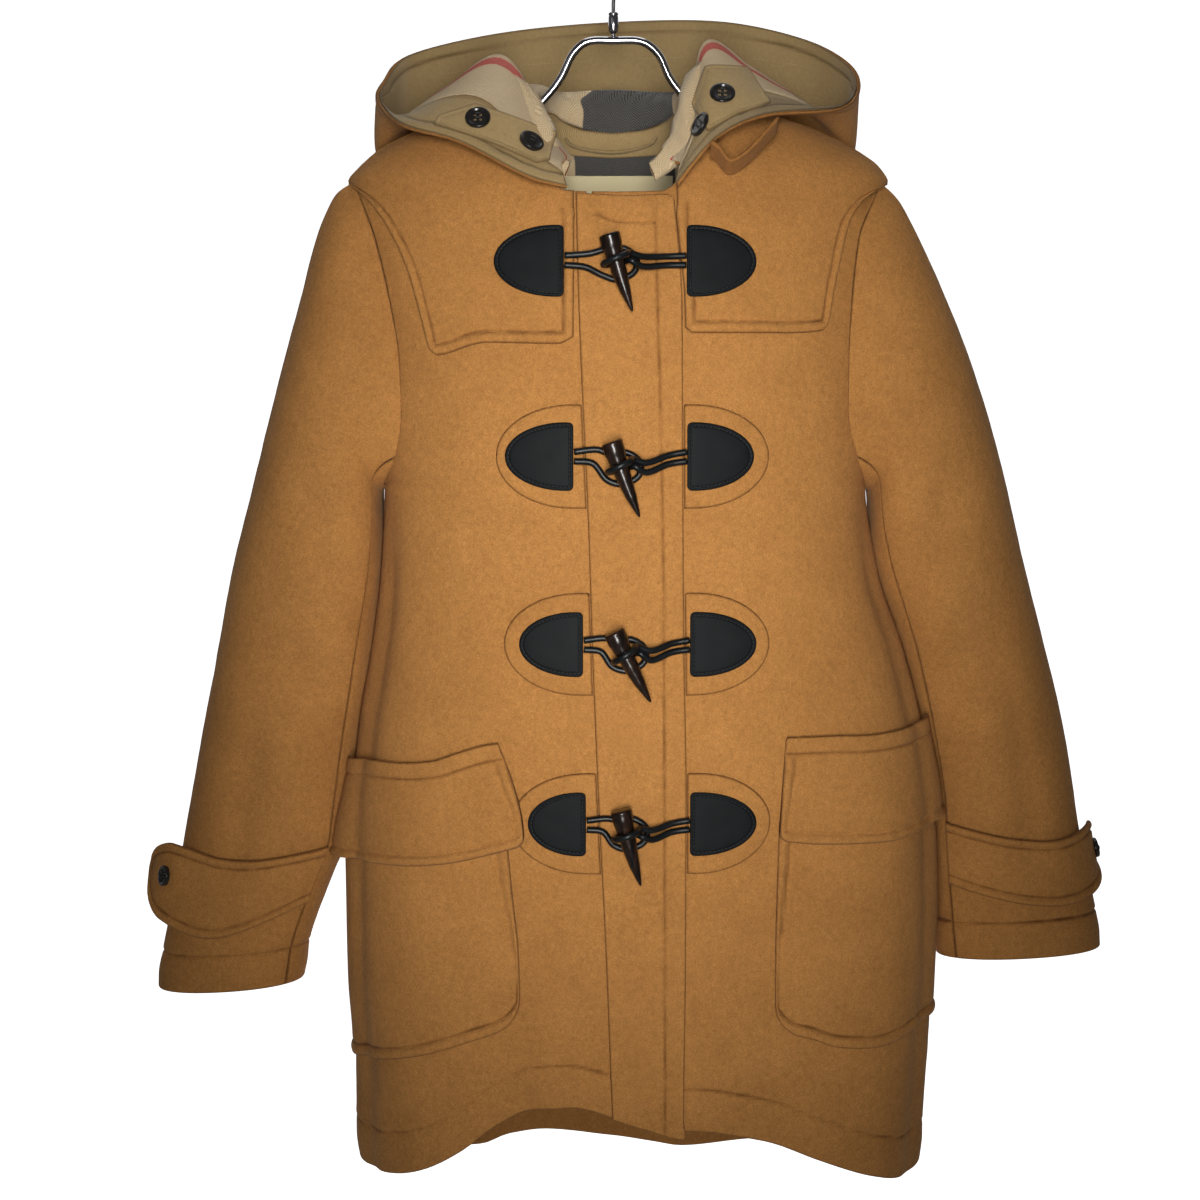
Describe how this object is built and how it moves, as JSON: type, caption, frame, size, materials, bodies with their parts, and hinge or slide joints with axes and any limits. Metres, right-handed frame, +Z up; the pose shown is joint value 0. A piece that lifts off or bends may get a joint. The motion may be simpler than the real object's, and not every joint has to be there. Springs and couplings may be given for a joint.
{
  "type": "duffle coat on hanger",
  "caption": "Hooded duffle coat in camel wool with toggle fastenings, flap pockets and cuff straps, hung on a chrome wire hanger.",
  "frame": {"origin": "inner top of the hanger's hook, where it rests on a rail", "axes": "+Z up, +Y towards the coat's back, +X towards the wearer's left side"},
  "size_m": [0.7592, 0.267, 0.9983],
  "materials": {
    "wool": "thick brushed camel wool melton",
    "twill": "khaki cotton twill",
    "lining": "light woven lining",
    "leather": "smooth black leather",
    "horn": "polished dark horn",
    "button": "glossy black",
    "label": "blank woven label",
    "chrome": "bright chrome wire"
  },
  "bodies": {
    "root": {"front_right": "wool", "front_left": "wool", "back": "wool", "yoke_right": "wool", "yoke_left": "wool", "yoke_back": "wool", "placket": "wool", "pocket_right": "wool", "pocket_left": "wool", "flap_right": "wool", "flap_left": "wool", "leather_patch_1_right": "leather", "leather_patch_1_left": "leather", "loop_cord_1": "leather", "horn_1": "horn", "ring_cord_1": "leather", "wool_patch_2_right": "wool", "leather_patch_2_right": "leather", "wool_patch_2_left": "wool", "leather_patch_2_left": "leather", "loop_cord_2": "leather", "horn_2": "horn", "ring_cord_2": "leather", "wool_patch_3_right": "wool", "leather_patch_3_right": "leather", "wool_patch_3_left": "wool", "leather_patch_3_left": "leather", "loop_cord_3": "leather", "horn_3": "horn", "ring_cord_3": "leather", "wool_patch_4_right": "wool", "leather_patch_4_right": "leather", "wool_patch_4_left": "wool", "leather_patch_4_left": "leather", "loop_cord_4": "leather", "horn_4": "horn", "ring_cord_4": "leather", "sleeve_top_right": "wool", "sleeve_under_right": "wool", "sleeve_top_left": "wool", "sleeve_under_left": "wool", "cuff_strap_right": "wool", "cuff_button_right": "button", "cuff_strap_left": "wool", "cuff_button_left": "button", "hood_right": "wool", "hood_left": "wool", "hood_facing": "twill", "hood_lining": "lining", "hood_tab_right": "twill", "hood_tab_left": "twill", "hood_button_right_outer": "button", "hood_button_right_inner": "button", "hood_button_left_outer": "button", "hood_button_left_inner": "button", "throat_loop": "wool", "neck_lining": "lining", "label": "label", "neck_binding": "twill", "hanger": "chrome"}
  },
  "joints": []
}
